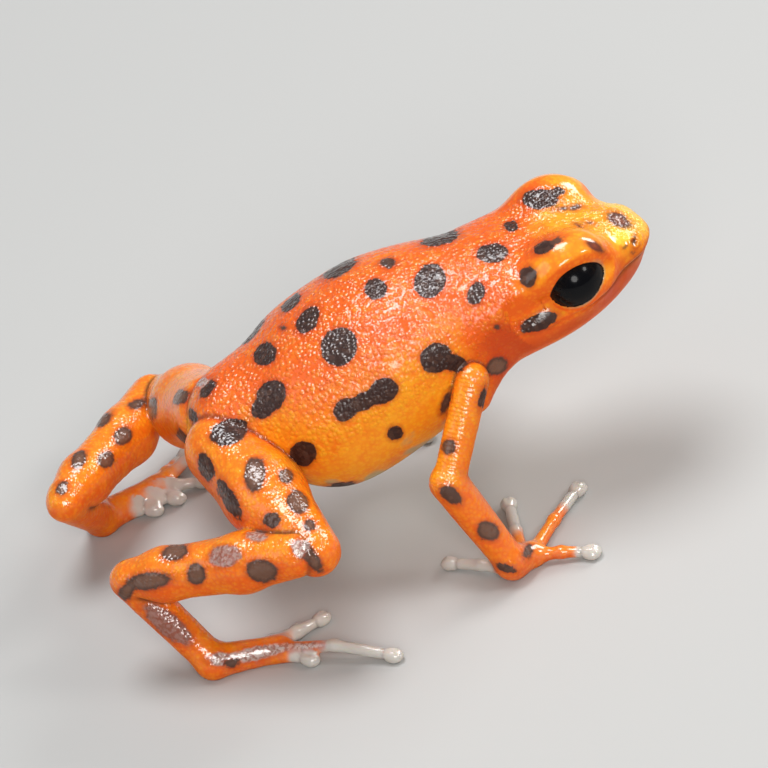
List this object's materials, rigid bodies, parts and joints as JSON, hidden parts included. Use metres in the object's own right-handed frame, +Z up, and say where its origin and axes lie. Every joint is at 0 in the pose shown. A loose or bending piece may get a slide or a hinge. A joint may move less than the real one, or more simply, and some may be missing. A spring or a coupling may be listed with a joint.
{
  "type": "strawberry poison dart frog figure",
  "caption": "Small rounded frog standing on splayed legs with its chest raised, domed eyes, a plump trunk, and slender digits that end in small flat discs; a still life-size model.",
  "frame": {"origin": "centre of the bounding box in plan, at the level of the floor the feet rest on", "axes": "+Z up; the frog faces -Y, and its left side is towards +X"},
  "size_m": [0.0208, 0.0288, 0.013],
  "materials": {
    "skin": "wet, finely pebbled orange-red skin with dark brown-black spots",
    "toe_skin": "smooth moist skin, orange fading to cream-white at the digit tips",
    "eye": "glossy, nearly black"
  },
  "bodies": {
    "root": {"trunk": "skin", "head": "skin", "upper_arm_left": "skin", "upper_arm_right": "skin", "forearm_left": "skin", "forearm_right": "skin", "thigh_left": "skin", "thigh_right": "skin", "shank_left": "skin", "shank_right": "skin", "tarsus_left": "skin", "tarsus_right": "skin", "hand_left": "toe_skin", "hand_right": "toe_skin", "foot_left": "toe_skin", "foot_right": "toe_skin", "eye_left": "eye", "eye_right": "eye"}
  },
  "joints": []
}
